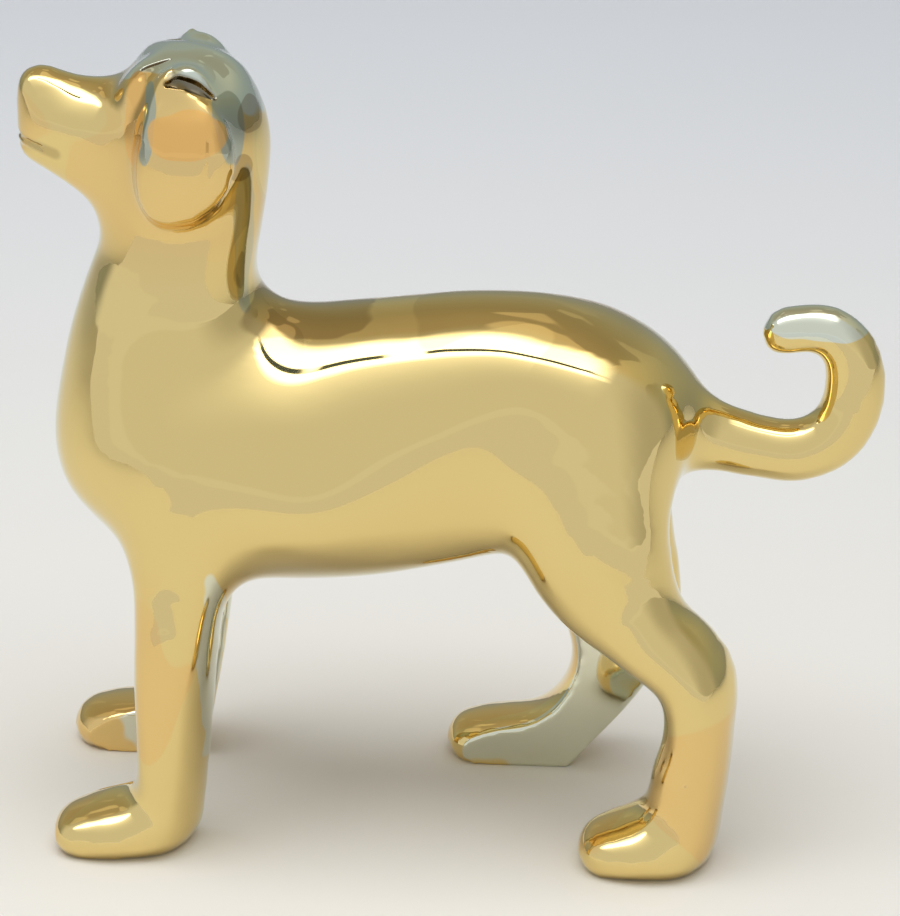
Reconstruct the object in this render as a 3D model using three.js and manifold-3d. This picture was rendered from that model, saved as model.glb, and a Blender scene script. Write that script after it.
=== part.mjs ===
// A dog figurine in crystal with a gold lustre: it stands, looks up and curls its tail.
// Millimetres, +Z up, nose toward -X, the dog's left side toward -Y, soles on Z = 0.
// One flowing body form is described first, then divided into nine pieces that meet on flat
// ground faces, each pair a film of clear adhesive apart.

import * as THREE from 'three';
import { mergeVertices } from 'three/addons/utils/BufferGeometryUtils.js';
import Module from 'manifold-3d';

const wasm = await Module();
wasm.setup();

// The film of clear adhesive between two bonded pieces
const bondGap = 0.3;

// Facet sizes of the ground surfaces
const torsoFacet = 4;
const headFacet = 2.7;
const legFacet = 2.8;
const tailFacet = 2.3;
const earFacet = 2.2;

// How softly neighbouring forms flow into each other
const neckBlend = 16;
const legBlend = 14;
const ankleBlend = 7;
const tailBlend = 5;
const muzzleBlend = 5;
const noseBlend = 4;
const jawBlend = 3;
const browBlend = 4;
const templeBlend = 6;
const throatBlend = 9;

// Main sizes: from the shoulders back to the hips, from the ground up to the crotch, from the
// middle of the chest up to that of the skull, and from mid-plane out to the legs' flat faces
const backLength = 77.5;
const crotchHeight = 44;
const neckHeight = 61.5;
const innerFace = 15.5;

// Landmarks; x is measured back from the shoulders and z up from the ground
const hipX = backLength;
const hipZ = crotchHeight + 35;
const chestZ = crotchHeight + 29;
const skullZ = chestZ + neckHeight;

// Trunk, from the chest to the croup: place, half depth in the side view and half width
const trunkLine = [
  { x: 0, z: chestZ, deep: 19.3, wide: 18.5 },
  { x: 13.5, z: chestZ - 0.3, deep: 24.7, wide: 21.5 },
  { x: 0.38 * backLength, z: chestZ + 0.7, deep: 26.1, wide: 22.5 },
  { x: 0.59 * backLength, z: hipZ - 3.3, deep: 26, wide: 22.5 },
  { x: hipX - 18, z: hipZ - 0.5, deep: 24.6, wide: 22 },
  { x: hipX - 7, z: hipZ + 1, deep: 22.3, wide: 21 },
  { x: hipX + 3, z: hipZ + 0.4, deep: 18.6, wide: 18.5 },
];

// Neck, from inside the skull down into the chest
const neckLine = [
  { x: 6.2, z: skullZ - 1.5, deep: 13.2, wide: 13 },
  { x: 4.9, z: skullZ - 14.5, deep: 14.9, wide: 14 },
  { x: 3.3, z: chestZ + 36, deep: 15.2, wide: 15 },
  { x: 0.9, z: chestZ + 24, deep: 17.6, wide: 16 },
  { x: -0.1, z: chestZ + 13, deep: 17.8, wide: 17 },
  { x: -0.5, z: chestZ + 3, deep: 16, wide: 17 },
];

// Skull, the temples under the ears, the brows, muzzle with the nose at its top corner, and lower jaw
const skull = { x: 5.8, side: 0, z: skullZ, long: 14.2, high: 14, wide: 14.8 };
const temple = { x: 6.9, side: 10.8, z: skullZ + 6.5, long: 6.5, high: 5.6, wide: 5 };
const brow = { x: -0.3, side: 6.3, z: skullZ + 8.3, long: 5.4, high: 4.8, wide: 5.2 };
const nose = { x: -20.7, side: 0, z: skullZ + 5.3, long: 4.6, high: 4.5, wide: 4.6 };
const muzzleLine = [
  { x: 0.5, z: skullZ - 2, deep: 11.5, wide: 11 },
  { x: -8.5, z: skullZ - 1.5, deep: 9.3, wide: 8.6 },
  { x: -17.9, z: skullZ + 0.7, deep: 7.6, wide: 6.8 },
];
const jawLine = [
  { x: -2.3, z: skullZ - 9.5, deep: 10.2, wide: 10 },
  { x: -12.5, z: skullZ - 6.1, deep: 7.2, wide: 7 },
  { x: -20.2, z: skullZ - 3.3, deep: 5.5, wide: 5.3 },
];

// Mouth line: a groove round the front of the muzzle that falls toward the cheeks
const mouth = { x: -18, z: skullZ - 2, fall: 0.35, spread: 95, groove: 0.8 };

// Eyes: shallow slits along the tops of the brows; and the hollows where the ears fold over
const eye = { x: 0.9, side: 6.8, z: skullZ + 13.3, long: 3.2, high: 1, wide: 1, rise: 16 };
const earFold = { x: 8.5, side: 14, z: skullZ + 10.6, long: 4.6, high: 1.7, wide: 2.6, rise: -14 };

// Ear flap, from its root at the crown down to its tip; side is the distance from mid-plane
const earLine = [
  { x: 4.8, side: 13.4, z: skullZ + 8.8, deep: 4.2, wide: 3.2 },
  { x: 6.6, side: 15, z: skullZ + 4, deep: 7.3, wide: 3.8 },
  { x: 7.5, side: 15.9, z: skullZ - 1, deep: 9.2, wide: 4 },
  { x: 6.1, side: 15.8, z: skullZ - 5.5, deep: 8.2, wide: 3.7 },
  { x: 4.4, side: 15.3, z: skullZ - 8.7, deep: 6.2, wide: 3.1 },
];

// Front leg: side is the distance from mid-plane to the middle of the round form, and lean how
// far its section slants outward toward the front, so that its back edge ends at the inner face
const frontLegLine = [
  { x: 5.5, side: 12, z: chestZ - 3, deep: 13, wide: 11, lean: 0 },
  { x: 4.5, side: innerFace + 3.2, z: crotchHeight + 8, deep: 8.6, wide: 10, lean: 0.1 },
  { x: 4, side: innerFace + 4.6, z: crotchHeight - 8, deep: 7.3, wide: 10, lean: 0.3 },
  { x: 3.3, side: innerFace + 4.6, z: 21, deep: 6.5, wide: 10, lean: 0.4 },
  { x: 1.7, side: innerFace + 4.4, z: 6, deep: 6, wide: 10, lean: 0.4 },
];
const frontPaw = [
  { ahead: 3, out: 0.6, z: 4.4, deep: 5.6, wide: 10, lean: 0.3 },
  { ahead: 9.5, out: 1.8, z: 4, deep: 6.2, wide: 10.4, lean: 0.2 },
  { ahead: 16.8, out: 3.4, z: 3.2, deep: 4.8, wide: 8, lean: 0 },
];

// Left hind leg, standing straight below the croup
const leftHindLine = [
  { x: hipX, side: 11, z: hipZ, deep: 16, wide: 11, lean: 0 },
  { x: hipX + 4.2, side: innerFace + 2, z: crotchHeight + 15, deep: 13.8, wide: 10.5, lean: 0 },
  { x: hipX + 12.7, side: innerFace + 4.4, z: crotchHeight + 2.7, deep: 8.7, wide: 10, lean: 0.1 },
  { x: hipX + 22, side: innerFace + 4.6, z: crotchHeight - 5.8, deep: 7.7, wide: 10, lean: 0.2 },
  { x: hipX + 23.3, side: innerFace + 4.6, z: 27, deep: 6.4, wide: 10, lean: 0.3 },
  { x: hipX + 21.9, side: innerFace + 4.8, z: 16, deep: 6.9, wide: 10.4, lean: 0.3 },
  { x: hipX + 20.2, side: innerFace + 5, z: 6, deep: 7, wide: 11, lean: 0.3 },
];

// Right hind leg, stepping forward
const rightHindLine = [
  { x: hipX, side: 11, z: hipZ, deep: 16, wide: 11, lean: 0 },
  { x: hipX + 3, side: innerFace + 2, z: crotchHeight + 14, deep: 13.3, wide: 10.5, lean: 0 },
  { x: hipX + 5.5, side: innerFace + 4.4, z: crotchHeight + 1, deep: 12.4, wide: 10, lean: 0.1 },
  { x: hipX + 7, side: innerFace + 4.6, z: crotchHeight - 10.5, deep: 11.6, wide: 10, lean: 0.2 },
  { x: hipX + 5.8, side: innerFace + 4.6, z: 23, deep: 8.2, wide: 10, lean: 0.3 },
  { x: hipX + 1, side: innerFace + 4.8, z: 12.8, deep: 6, wide: 10.4, lean: 0.3 },
  { x: hipX - 5.8, side: innerFace + 5, z: 5, deep: 5.8, wide: 11, lean: 0.3 },
];
const leftHindPaw = [
  { ahead: 2, out: 0.6, z: 4.6, deep: 6, wide: 10.6, lean: 0.3 },
  { ahead: 8, out: 1.4, z: 4.1, deep: 6.2, wide: 11, lean: 0.2 },
  { ahead: 14, out: 2.6, z: 3.3, deep: 5.1, wide: 8.6, lean: 0 },
];
const rightHindPaw = [
  { ahead: 2, out: 0.6, z: 3, deep: 4.6, wide: 10.6, lean: 0.3 },
  { ahead: 8.6, out: 1.4, z: 3.4, deep: 5.6, wide: 11, lean: 0.2 },
  { ahead: 15.6, out: 2.6, z: 2.6, deep: 4.8, wide: 8.6, lean: 0 },
];

// The right front paw stands ahead of the left one
const rightFrontStep = 4;

// The legs' bond faces start at the crotch and slant up and outward
const legBondSlope = 38;

// Tail, from inside the croup round to its tip
const tailLine = [
  { x: hipX + 14, z: hipZ, deep: 8, wide: 8 },
  { x: hipX + 25, z: hipZ - 2.4, deep: 6.4, wide: 6.4 },
  { x: hipX + 32.5, z: hipZ - 3.8, deep: 5.8, wide: 5.8 },
  { x: hipX + 39.5, z: hipZ - 4.4, deep: 5.8, wide: 5.8 },
  { x: hipX + 45.6, z: hipZ - 1.7, deep: 5.8, wide: 5.8 },
  { x: hipX + 49.2, z: hipZ + 3.7, deep: 5.5, wide: 5.5 },
  { x: hipX + 50.2, z: hipZ + 10.3, deep: 5.1, wide: 5.1 },
  { x: hipX + 48.4, z: hipZ + 16, deep: 4.8, wide: 4.8 },
  { x: hipX + 43.9, z: hipZ + 19.4, deep: 4.5, wide: 4.5 },
  { x: hipX + 37.3, z: hipZ + 19.3, deep: 4.2, wide: 4.2 },
];

// Bond faces of the neck and the tail
const neckBond = { x: 1, z: chestZ + 25.5, tilt: 25 };
const tailBondX = hipX + 28;

// Forms are functions of a point that give its distance to the surface, negative inside.

// A limb: round sections swept along a smooth line through its stations
function limb(stations) {
  const path = new THREE.CatmullRomCurve3(placesOf(stations));
  const sections = stations.map((s) => new THREE.Vector3(s.deep, s.wide, s.lean ?? 0));
  const section = new THREE.CatmullRomCurve3(sections, false, 'catmullrom');
  const steps = stepsPerStation * (stations.length - 1);
  const rings = [];
  for (let i = 0; i <= steps; i += 1) {
    rings.push({ at: path.getPoint(i / steps), size: section.getPoint(i / steps) });
  }
  const around = boxAround(stations);
  const point = new THREE.Vector3();
  return (x, y, z) => {
    let nearest = around.distanceToPoint(point.set(x, y, z));
    if (nearest > farAway) {
      return nearest;
    }
    nearest = Infinity;
    for (let i = 0; i < steps; i += 1) {
      nearest = Math.min(nearest, toSegment(x, y, z, rings[i], rings[i + 1]));
    }
    return nearest;
  };
}
const stepsPerStation = 5;
const farAway = 20;

function placesOf(stations) {
  return stations.map((s) => new THREE.Vector3(s.x, s.y ?? 0, s.z));
}

// A box that a limb lies in, with room for the swing of its line between stations
function boxAround(stations) {
  const thickest = Math.max(...stations.flatMap((s) => [s.deep, s.wide]));
  return new THREE.Box3().setFromPoints(placesOf(stations)).expandByScalar(thickest);
}

// Distance to one short stretch of a limb, an ellipse in section
function toSegment(x, y, z, from, to) {
  const ax = to.at.x - from.at.x;
  const ay = to.at.y - from.at.y;
  const az = to.at.z - from.at.z;
  const along = (x - from.at.x) * ax + (y - from.at.y) * ay + (z - from.at.z) * az;
  const t = Math.min(Math.max(along / (ax * ax + ay * ay + az * az), 0), 1);
  const dx = x - from.at.x - ax * t;
  const dy = y - from.at.y - ay * t;
  const dz = z - from.at.z - az * t;
  const deep = from.size.x + (to.size.x - from.size.x) * t;
  const wide = from.size.y + (to.size.y - from.size.y) * t;
  const lean = from.size.z + (to.size.z - from.size.z) * t;
  return toEllipsoid(dx, dy - lean * dx, dz, deep, wide, deep);
}

// Distance to an ellipsoid round the origin, exact on its surface
function toEllipsoid(dx, dy, dz, long, wide, high) {
  const u = dx / long;
  const v = dy / wide;
  const w = dz / high;
  const scaled = Math.sqrt(u * u + v * v + w * w);
  const slope = Math.hypot(u / long, v / wide, w / high);
  return slope > 0 ? (scaled * (scaled - 1)) / slope : -Math.min(long, wide, high);
}

// Two forms joined by a fillet that is about as wide as reach
function blend(a, b, reach) {
  const near = Math.max(reach - Math.abs(a - b), 0) / reach;
  return Math.min(a, b) - (near * near * near * reach) / 6;
}

// The stations of a limb on one side: side is -1 on the left and +1 on the right
function onSide(stations, side) {
  return stations.map((s) => ({ ...s, y: side * s.side, lean: -side * (s.lean ?? 0) }));
}

// A leg and its paw, which lies ahead of the heel that ends the leg's line and turns outward
function legWithPaw(stations, paw, side) {
  const heel = stations[stations.length - 1];
  const pawStations = paw.map((s) => ({ ...s, x: heel.x - s.ahead, side: heel.side + s.out }));
  return { legLine: onSide(stations, side), pawLine: onSide(pawStations, side) };
}

// The whole leg swings from the shoulder when its paw steps ahead
function steppedBy(step) {
  const shoulder = frontLegLine[0];
  return frontLegLine.map((s) => ({ ...s, x: s.x - step * (1 - s.z / shoulder.z) }));
}

const left = -1;
const right = 1;
const legLines = {
  left_front_leg: legWithPaw(frontLegLine, frontPaw, left),
  right_front_leg: legWithPaw(steppedBy(rightFrontStep), frontPaw, right),
  left_hind_leg: legWithPaw(leftHindLine, leftHindPaw, left),
  right_hind_leg: legWithPaw(rightHindLine, rightHindPaw, right),
};
const legs = Object.values(legLines).map(({ legLine, pawLine }) => {
  const shank = limb(legLine);
  const paw = limb(pawLine);
  return (x, y, z) => blend(shank(x, y, z), paw(x, y, z), ankleBlend);
});
const trunk = limb(trunkLine);
const neck = limb(neckLine);
const muzzle = limb(muzzleLine);
const jaw = limb(jawLine);
const tail = limb(tailLine);

// The whole body except the ears
function bodyForm(x, y, z) {
  let form = blend(trunk(x, y, z), neck(x, y, z), neckBlend);
  for (const leg of legs) {
    form = blend(form, leg(x, y, z), legBlend);
  }
  form = blend(form, tail(x, y, z), tailBlend);
  return blend(form, headForm(x, y, z), throatBlend);
}

function headForm(x, y, z) {
  const brows = toBall(brow, x, Math.abs(y), z);
  const temples = toBall(temple, x, Math.abs(y), z);
  const crown = blend(toBall(skull, x, y, z), temples, templeBlend);
  const snout = blend(muzzle(x, y, z), toBall(nose, x, y, z), noseBlend);
  const face = blend(snout, jaw(x, y, z), jawBlend);
  return blend(blend(crown, brows, browBlend), face, muzzleBlend);
}

function toBall(ball, x, y, z) {
  return toEllipsoid(x - ball.x, y - ball.side, z - ball.z, ball.long, ball.wide, ball.high);
}

// Surface of a form inside a box, as a closed mesh of near-square facets: one point in each
// cell that the surface crosses, drawn onto the surface and evened out along it.
function surface(form, box, facet) {
  const middle = box.getCenter(new THREE.Vector3());
  const half = box.getSize(new THREE.Vector3()).multiplyScalar(0.5);
  const inBox = (x, y, z) => Math.max(
    form(x, y, z),
    Math.abs(x - middle.x) - half.x,
    Math.abs(y - middle.y) - half.y,
    Math.abs(z - middle.z) - half.z,
  );
  const counts = half.toArray().map((h) => Math.ceil((2 * h) / facet + 2 * marginCells) + 1);
  const start = box.min.clone().subScalar(marginCells * facet);
  const stride = [1, counts[0], counts[0] * counts[1]];
  const values = new Float64Array(counts[0] * counts[1] * counts[2]);
  for (let k = 0; k < counts[2]; k += 1) {
    for (let j = 0; j < counts[1]; j += 1) {
      for (let i = 0; i < counts[0]; i += 1) {
        values[i + j * stride[1] + k * stride[2]] =
          inBox(start.x + i * facet, start.y + j * facet, start.z + k * facet);
      }
    }
  }
  while (untangle(values, stride)) {
    // One change of side can call for another beside it
  }
  return netOver(values, counts, stride, start, facet, inBox);
}

const marginCells = 2.5;

// Where inside and outside take turns round a cell face, two sheets of the surface would
// touch: the outer corner nearest to the surface is taken in. Says whether any corner was.
function untangle(values, stride) {
  let changed = false;
  for (const [across, along] of [[stride[0], stride[1]], [stride[1], stride[2]], [stride[2], stride[0]]]) {
    for (let first = 0; first < values.length - across - along; first += 1) {
      const round = [first, first + across, first + across + along, first + along];
      const inside = round.map((corner) => values[corner] < 0);
      if (inside[0] === inside[2] && inside[1] === inside[3] && inside[0] !== inside[1]) {
        const outer = inside[0] ? [round[1], round[3]] : [round[0], round[2]];
        const nearest = values[outer[0]] < values[outer[1]] ? outer[0] : outer[1];
        values[nearest] = -Number.EPSILON;
        changed = true;
      }
    }
  }
  return changed;
}

// Corners of a cell, and the twelve edges between them
function cornersOfCell() {
  return Array.from({ length: 8 }, (_, c) => [c & 1, (c >> 1) & 1, (c >> 2) & 1]);
}

function edgesOfCell() {
  return cornersOfCell().flatMap((_, a) => [1, 2, 4]
    .filter((bit) => !(a & bit))
    .map((bit) => [a, a | bit]));
}

function netOver(values, counts, stride, start, facet, form) {
  const cellCorners = cornersOfCell();
  const cellEdges = edgesOfCell();
  const pointOf = new Map();
  const points = [];
  for (let k = 0; k < counts[2] - 1; k += 1) {
    for (let j = 0; j < counts[1] - 1; j += 1) {
      for (let i = 0; i < counts[0] - 1; i += 1) {
        const cell = i + j * stride[1] + k * stride[2];
        const corner = cellCorners.map(([a, b, c]) => values[cell + a + b * stride[1] + c * stride[2]]);
        const crossing = new THREE.Vector3();
        let crossings = 0;
        for (const [a, b] of cellEdges) {
          if ((corner[a] < 0) !== (corner[b] < 0)) {
            const t = corner[a] / (corner[a] - corner[b]);
            const from = new THREE.Vector3(...cellCorners[a]);
            crossing.add(from.lerp(new THREE.Vector3(...cellCorners[b]), t));
            crossings += 1;
          }
        }
        if (crossings > 0) {
          pointOf.set(cell, points.length);
          crossing.multiplyScalar(1 / crossings).add(new THREE.Vector3(i, j, k));
          points.push(crossing.multiplyScalar(facet).add(start));
        }
      }
    }
  }
  const faces = [];
  for (const cell of pointOf.keys()) {
    for (let axis = 0; axis < 3; axis += 1) {
      const ahead = values[cell + stride[axis]] < 0;
      const here = values[cell] < 0;
      const sideways = stride[(axis + 1) % 3];
      const upwards = stride[(axis + 2) % 3];
      const ring = [cell, cell - sideways, cell - sideways - upwards, cell - upwards];
      if (here !== ahead) {
        const corners = ring.map((c) => pointOf.get(c));
        faces.push(here ? corners : corners.reverse());
      }
    }
  }
  const halves = trianglesOf(points, faces);
  evenOut(points, halves, form, facet);
  const index = withoutShortEdges(points, halves, shortEdge * facet);
  evenOut(points, index, form, facet);
  const geometry = new THREE.BufferGeometry();
  geometry.setAttribute('position', new THREE.Float32BufferAttribute(points.flatMap((p) => p.toArray()), 3));
  geometry.setIndex(index);
  return geometry;
}
const shortEdge = 0.45;

// Draws every point to the middle of its neighbours and back onto the surface
function evenOut(points, index, form, facet) {
  const neighbours = neighboursOf(index);
  for (let round = 0; round < eveningRounds; round += 1) {
    const drawn = new Map();
    for (const [p, others] of neighbours) {
      const middle = new THREE.Vector3();
      others.forEach((n) => middle.add(points[n]));
      drawn.set(p, middle.multiplyScalar(1 / others.size).lerp(points[p], 0.5));
    }
    drawn.forEach((point, p) => points[p].copy(ontoSurface(point, form, facet)));
  }
}
const eveningRounds = 4;

// Every point of a triangle net with the points that share an edge with it
function neighboursOf(index) {
  const around = new Map();
  const touching = (a) => around.get(a) ?? around.set(a, new Set()).get(a);
  for (let corner = 0; corner < index.length; corner += 1) {
    const next = corner % 3 === 2 ? corner - 2 : corner + 1;
    touching(index[corner]).add(index[next]);
    touching(index[next]).add(index[corner]);
  }
  return around;
}

// Draws the ends of every edge that is shorter than a limit together to one point, where
// the two triangles at the edge are the only ones that vanish
function withoutShortEdges(points, corners, limit) {
  let index = corners;
  let merged = new Map([[0, 0]]);
  while (merged.size > 0) {
    merged = new Map();
    const around = neighboursOf(index);
    const settled = new Set();
    for (const [a, others] of around) {
      for (const b of others) {
        const shared = [...others].filter((c) => around.get(b).has(c));
        const free = !settled.has(a) && !settled.has(b);
        if (free && shared.length === 2 && points[a].distanceTo(points[b]) < limit) {
          merged.set(b, a);
          [a, b, ...others, ...around.get(b)].forEach((c) => settled.add(c));
        }
      }
    }
    const renamed = index.map((p) => merged.get(p) ?? p);
    index = [];
    for (let corner = 0; corner < renamed.length; corner += 3) {
      const [a, b, c] = renamed.slice(corner, corner + 3);
      if (a !== b && b !== c && c !== a) {
        index.push(a, b, c);
      }
    }
  }
  return index;
}

// Pulls a point down the slope of a form onto its surface, half a facet at most each time
function ontoSurface(point, form, facet) {
  for (let pull = 0; pull < pulls; pull += 1) {
    const { x, y, z } = point;
    const value = form(x, y, z);
    const slope = new THREE.Vector3(
      form(x + nudge, y, z) - value,
      form(x, y + nudge, z) - value,
      form(x, y, z + nudge) - value,
    ).divideScalar(nudge);
    const step = THREE.MathUtils.clamp(value, -0.5 * facet, 0.5 * facet);
    point.addScaledVector(slope, -step / Math.max(slope.lengthSq(), leastSlope));
  }
  return point;
}
const pulls = 3;
const nudge = 0.05;
const leastSlope = 0.25;

// Each four-sided facet becomes two triangles across its shorter diagonal
function trianglesOf(points, faces) {
  return faces.flatMap(([a, b, c, d]) => (
    points[a].distanceToSquared(points[c]) < points[b].distanceToSquared(points[d])
      ? [a, b, c, a, c, d]
      : [a, b, d, b, c, d]
  ));
}

// Joining and cutting
function solid(geometry) {
  const plain = geometry.clone();
  plain.deleteAttribute('normal');
  plain.deleteAttribute('uv');
  const merged = mergeVertices(plain);
  return new wasm.Manifold(new wasm.Mesh({
    numProp: 3,
    vertProperties: new Float32Array(merged.attributes.position.array),
    triVerts: new Uint32Array(merged.index.array),
  }));
}

// The finished piece; a cut that grazes a corner leaves tiny edges, which are drawn together
function geometryOf(manifold) {
  const mesh = manifold.getMesh();
  const geometry = new THREE.BufferGeometry();
  geometry.setAttribute('position', new THREE.BufferAttribute(mesh.vertProperties, 3));
  const points = [];
  for (let i = 0; i < geometry.attributes.position.count; i += 1) {
    points.push(new THREE.Vector3().fromBufferAttribute(geometry.attributes.position, i));
  }
  geometry.setIndex(withoutShortEdges(points, Array.from(mesh.triVerts), tinyEdge));
  geometry.computeVertexNormals();
  return geometry;
}
const tinyEdge = 0.02;

// A length past the end of any piece
const far = 400;

// How far the form of a piece is followed past its bond before that is ground flat
const overrun = 20;

// Everything on the side of a plane that its normal points to
function beyond(point, normal) {
  const block = new THREE.BoxGeometry(far, far, far);
  block.translate(0, 0, far / 2);
  const turn = new THREE.Quaternion().setFromUnitVectors(new THREE.Vector3(0, 0, 1), normal);
  block.applyQuaternion(turn);
  block.translate(point.x, point.y, point.z);
  return solid(block);
}

// The two sides of a bond, each half a film back from it
function bond(point, normal) {
  const back = bondGap / 2;
  const reverse = normal.clone().negate();
  return {
    above: beyond(point.clone().addScaledVector(normal, -back), normal),
    below: beyond(point.clone().addScaledVector(normal, back), reverse),
  };
}

const ground = beyond(new THREE.Vector3(), new THREE.Vector3(0, 0, -1));
const neckTilt = THREE.MathUtils.degToRad(neckBond.tilt);
const neckNormal = new THREE.Vector3(-Math.sin(neckTilt), 0, Math.cos(neckTilt));
const neckFaces = bond(new THREE.Vector3(neckBond.x, 0, neckBond.z), neckNormal);
const tailFaces = bond(new THREE.Vector3(tailBondX, 0, 0), new THREE.Vector3(1, 0, 0));

// The bond of a leg slants down toward mid-plane and ends at the crotch, so the belly stays whole
function legFaces(side) {
  const slope = THREE.MathUtils.degToRad(legBondSlope);
  const normal = new THREE.Vector3(0, -side * Math.sin(slope), Math.cos(slope));
  return bond(new THREE.Vector3(0, side * innerFace, crotchHeight), normal);
}

// Between the legs: flat inner faces up to the crotch
function betweenLegs() {
  const gap = new THREE.BoxGeometry(far, 2 * innerFace, far);
  gap.translate(0, 0, crotchHeight - far / 2);
  return solid(gap);
}

const crotch = betweenLegs();

// The other half of the dog, as a leg sees it
function acrossFrom(side) {
  return beyond(new THREE.Vector3(), new THREE.Vector3(0, -side, 0));
}

// The room that the whole dog takes, with fillets, and where its pieces divide
const allLines = [trunkLine, neckLine, muzzleLine, jawLine, tailLine]
  .concat(Object.values(legLines).flatMap(({ legLine, pawLine }) => [legLine, pawLine]));
const room = new THREE.Box3();
allLines.forEach((line) => room.union(boxAround(line)));

// That room without what lies beyond the given limits, such as { maxZ: 60 }
function roomWithin(limits) {
  const box = room.clone();
  for (const axis of ['x', 'y', 'z']) {
    const name = axis.toUpperCase();
    box.min[axis] = Math.max(box.min[axis], limits[`min${name}`] ?? -far);
    box.max[axis] = Math.min(box.max[axis], limits[`max${name}`] ?? far);
  }
  return box;
}

function torso() {
  const box = roomWithin({
    maxX: tailBondX + overrun,
    minZ: crotchHeight - overrun,
    maxZ: neckBond.z + overrun,
  });
  return solid(surface(bodyForm, box, torsoFacet))
    .subtract(neckFaces.above)
    .subtract(tailFaces.above)
    .subtract(crotch)
    .subtract(legFaces(left).below)
    .subtract(legFaces(right).below);
}

function leg(name) {
  const { legLine, pawLine } = legLines[name];
  const side = Math.sign(legLine[0].y);
  const box = boxAround([...legLine, ...pawLine]).expandByScalar(legBlend);
  box.max.z = crotchHeight + overrun;
  return solid(surface(bodyForm, box, legFacet))
    .subtract(ground)
    .subtract(crotch)
    .subtract(acrossFrom(side))
    .subtract(legFaces(side).above);
}

// A lens-shaped hollow, its long axis rising toward the tail end
function lens(hollow, side) {
  const form = new THREE.SphereGeometry(1, lensSides, lensSides / 2);
  form.scale(hollow.long, hollow.wide, hollow.high);
  form.rotateY(-THREE.MathUtils.degToRad(hollow.rise));
  form.translate(hollow.x, side * hollow.side, hollow.z);
  return solid(form);
}

// The point where the mouth line crosses the skin of the muzzle, at an angle from straight ahead
function mouthPoint(angle) {
  const at = (r) => {
    const x = mouth.x - r * Math.cos(angle);
    const front = nose.x - nose.long;
    return new THREE.Vector3(x, r * Math.sin(angle), mouth.z - mouth.fall * (x - front));
  };
  let inside = 0;
  let outside = far;
  while (outside - inside > tinyEdge) {
    const middle = (inside + outside) / 2;
    const { x, y, z } = at(middle);
    if (bodyForm(x, y, z) < 0) {
      inside = middle;
    } else {
      outside = middle;
    }
  }
  return at(outside);
}

// Facets along and round the small hollows
const grooveSteps = 16;
const grooveSides = 6;
const lensSides = 12;

function mouthGroove() {
  const spread = THREE.MathUtils.degToRad(mouth.spread);
  const points = [];
  for (let i = 0; i <= grooveSteps; i += 1) {
    points.push(mouthPoint(spread * ((2 * i) / grooveSteps - 1)));
  }
  const section = new THREE.Shape().absarc(0, 0, mouth.groove, 0, 2 * Math.PI);
  const extrudePath = new THREE.CatmullRomCurve3(points);
  const settings = { extrudePath, steps: grooveSteps, curveSegments: grooveSides, bevelEnabled: false };
  return solid(new THREE.ExtrudeGeometry(section, settings));
}

function head() {
  const box = roomWithin({ maxX: skull.x + skull.long + overrun, minZ: neckBond.z - overrun });
  return solid(surface(bodyForm, box, headFacet))
    .subtract(neckFaces.below)
    .subtract(mouthGroove())
    .subtract(lens(eye, left))
    .subtract(lens(eye, right))
    .subtract(lens(earFold, left))
    .subtract(lens(earFold, right));
}

function tailPiece() {
  const box = boxAround(tailLine).expandByScalar(tailBlend);
  box.min.x = tailBondX - tailBlend;
  return solid(surface(bodyForm, box, tailFacet))
    .subtract(tailFaces.below);
}

// An ear lies on the head and follows its side, a film of adhesive off it
function ear(side) {
  const line = onSide(earLine, side);
  const box = boxAround(line).expandByScalar(earFacet);
  const grown = (x, y, z) => bodyForm(x, y, z) - bondGap;
  return solid(surface(limb(line), box, earFacet))
    .subtract(solid(surface(grown, box, headFacet)))
    .subtract(lens(earFold, side));
}

const parts = {
  torso: torso(),
  head: head(),
  left_ear: ear(left),
  right_ear: ear(right),
  left_front_leg: leg('left_front_leg'),
  right_front_leg: leg('right_front_leg'),
  left_hind_leg: leg('left_hind_leg'),
  right_hind_leg: leg('right_hind_leg'),
  tail: tailPiece(),
};

const lustre = new THREE.MeshStandardMaterial({ color: 0xcdb87d, roughness: 0.08, metalness: 0.85 });
const dog = new THREE.Group();
for (const [name, form] of Object.entries(parts)) {
  const mesh = new THREE.Mesh(geometryOf(form), lustre);
  mesh.name = name;
  dog.add(mesh);
}

// The origin lies on the ground under the middle of the dog
const extent = new THREE.Box3().setFromObject(dog);
const middle = extent.getCenter(new THREE.Vector3());
dog.position.set(-middle.x, -middle.y, -extent.min.z);

export default dog;
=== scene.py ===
# %% [markdown]
# # A crystal dog with a gold lustre
# The figurine is one solid casting of clear crystal. After polishing, a film of gold lustre is fired
# onto it, thin enough to keep the glassy polish and dense enough to mirror the studio round it.
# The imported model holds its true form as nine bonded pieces, made of flat facets a few millimetres
# wide. A mirror shows every facet, so this lesson turns those solids into one flowing skin, divides
# it again at the bond faces, and then gives it its lustre, its table, its studio and its lamp.

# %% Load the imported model
from math import cos, radians, sin

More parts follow.
